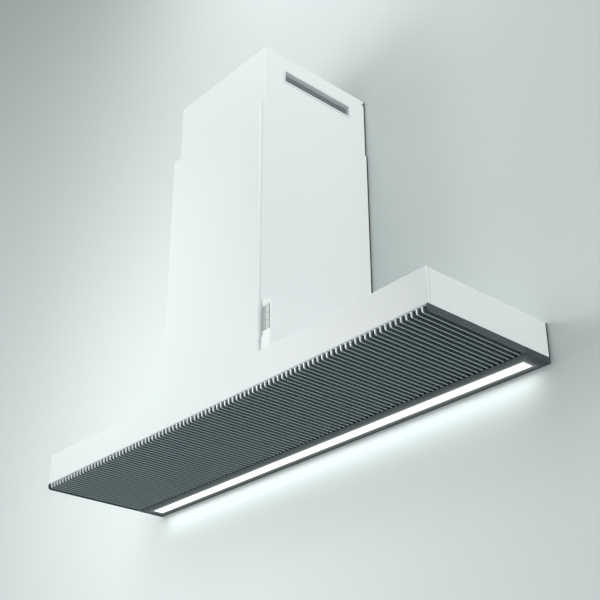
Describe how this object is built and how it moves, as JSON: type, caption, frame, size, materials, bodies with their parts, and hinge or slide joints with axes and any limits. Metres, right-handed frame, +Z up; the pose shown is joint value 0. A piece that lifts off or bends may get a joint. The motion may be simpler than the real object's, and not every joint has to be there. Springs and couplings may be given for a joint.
{
  "type": "wall chimney range hood",
  "caption": "Wide white wall-mounted range hood with a T-shaped canopy, finned drop-down grille, rear light strip, telescopic chimney and a slim remote in its holder.",
  "frame": {"origin": "middle of the wall face, level with the lower edge of the canopy's shell", "axes": "+X along the wall (to the right seen from the front), +Y into the wall, +Z up"},
  "size_m": [1.2, 0.325, 0.847],
  "materials": {
    "white_paint": "satin powder coat",
    "dark_paint": "satin powder coat",
    "fin_metal": "satin anodised",
    "galvanised": "matt zinc",
    "plated_screw": "bright zinc",
    "pin_steel": "ground",
    "raw_aluminium": "mill",
    "filter_alloy": "brushed",
    "filter_weave": "expanded mesh",
    "opal_cover": "opal, lit from behind",
    "cap_plastic": "fine texture",
    "vent_plastic": "fine texture",
    "board_white": "solder mask",
    "board_green": "solder mask",
    "case_plastic": "moulded",
    "motor_black": "matt",
    "wheel_plastic": "moulded",
    "collar_plastic": "moulded",
    "flap_plastic": "moulded",
    "rubber_black": "matt",
    "remote_white": "gloss",
    "key_grey": "soft touch",
    "pad_grey": "satin"
  },
  "bodies": {
    "hood": {"front_panel": "white_paint", "canopy_side_left": "white_paint", "canopy_side_right": "white_paint", "canopy_top": "white_paint", "back_plate": "galvanised", "panel_screws": "plated_screw", "chimney_side_left": "white_paint", "chimney_side_right": "white_paint", "light_housing": "dark_paint", "led_profile": "raw_aluminium", "led_board": "board_white", "led_diffuser": "opal_cover", "led_end_caps": "cap_plastic", "led_driver": "case_plastic", "hinge_brackets": "galvanised", "grille_catches": "cap_plastic", "blower_box": "galvanised", "blower_screws": "plated_screw", "scroll_left": "galvanised", "scroll_right": "galvanised", "motor": "motor_black", "motor_spider": "galvanised", "duct_collar": "collar_plastic", "flap_pins": "pin_steel", "control_box": "case_plastic", "control_cover": "case_plastic", "control_board": "board_green", "capacitor": "raw_aluminium", "cable_gland": "rubber_black", "handset_holder": "remote_white"},
    "upper_section": {"upper_chimney": "white_paint", "vent_grille_left": "vent_plastic", "vent_grille_right": "vent_plastic", "ceiling_bracket": "galvanised", "bracket_screws": "plated_screw"},
    "grille": {"grille_fins": "fin_metal", "grille_side_left": "dark_paint", "grille_side_right": "dark_paint", "grille_side_screws": "plated_screw", "grille_rails": "dark_paint", "grille_hinge_pins": "pin_steel"},
    "filter_left": {"filter_frame_left": "filter_alloy", "filter_mesh_left": "filter_weave"},
    "filter_middle": {"filter_frame_middle": "filter_alloy", "filter_mesh_middle": "filter_weave"},
    "filter_right": {"filter_frame_right": "filter_alloy", "filter_mesh_right": "filter_weave"},
    "fan": {"fan_shaft": "pin_steel", "fan_wheel": "wheel_plastic"},
    "left_flap": {"flap_left": "flap_plastic"},
    "right_flap": {"flap_right": "flap_plastic"},
    "handset": {"handset_front": "remote_white", "handset_back": "remote_white", "handset_board": "pad_grey"},
    "button_1": {"key_1": "key_grey"},
    "button_2": {"key_2": "key_grey"},
    "button_3": {"key_3": "key_grey"},
    "button_4": {"key_4": "key_grey"},
    "button_5": {"key_5": "key_grey"},
    "button_6": {"key_6": "key_grey"}
  },
  "joints": [
    {"name": "chimney_slide", "type": "slide", "parent": "hood", "child": "upper_section", "axis": [0, 0, 1], "range_m": [-0.15, 0.16]},
    {"name": "grille_hinge", "type": "hinge", "parent": "hood", "child": "grille", "pos_m": [0, -0.0738, -0.0095], "axis": [1, 0, 0], "range_deg": [0, 85]},
    {"name": "filter_left_lift", "type": "slide", "parent": "grille", "child": "filter_left", "axis": [0, 0, 1], "range_m": [0, 0.025]},
    {"name": "filter_middle_lift", "type": "slide", "parent": "grille", "child": "filter_middle", "axis": [0, 0, 1], "range_m": [0, 0.025]},
    {"name": "filter_right_lift", "type": "slide", "parent": "grille", "child": "filter_right", "axis": [0, 0, 1], "range_m": [0, 0.025]},
    {"name": "fan_spin", "type": "hinge", "parent": "hood", "child": "fan", "pos_m": [0, -0.135, 0.235], "axis": [1, 0, 0], "continuous": true},
    {"name": "left_flap_hinge", "type": "hinge", "parent": "hood", "child": "left_flap", "pos_m": [-0.004, -0.173, 0.4], "axis": [0, 1, 0], "range_deg": [0, 80]},
    {"name": "right_flap_hinge", "type": "hinge", "parent": "hood", "child": "right_flap", "pos_m": [0.004, -0.173, 0.4], "axis": [0, -1, 0], "range_deg": [0, 80]},
    {"name": "handset_lift", "type": "slide", "parent": "hood", "child": "handset", "axis": [0, 0, 1], "range_m": [0, 0.05]},
    {"name": "key_1_press", "type": "slide", "parent": "handset", "child": "button_1", "axis": [0, 1, 0], "range_m": [0, 0.0008], "stiffness_N_per_m": 900},
    {"name": "key_2_press", "type": "slide", "parent": "handset", "child": "button_2", "axis": [0, 1, 0], "range_m": [0, 0.0008], "stiffness_N_per_m": 900},
    {"name": "key_3_press", "type": "slide", "parent": "handset", "child": "button_3", "axis": [0, 1, 0], "range_m": [0, 0.0008], "stiffness_N_per_m": 900},
    {"name": "key_4_press", "type": "slide", "parent": "handset", "child": "button_4", "axis": [0, 1, 0], "range_m": [0, 0.0008], "stiffness_N_per_m": 900},
    {"name": "key_5_press", "type": "slide", "parent": "handset", "child": "button_5", "axis": [0, 1, 0], "range_m": [0, 0.0008], "stiffness_N_per_m": 900},
    {"name": "key_6_press", "type": "slide", "parent": "handset", "child": "button_6", "axis": [0, 1, 0], "range_m": [0, 0.0008], "stiffness_N_per_m": 900}
  ]
}
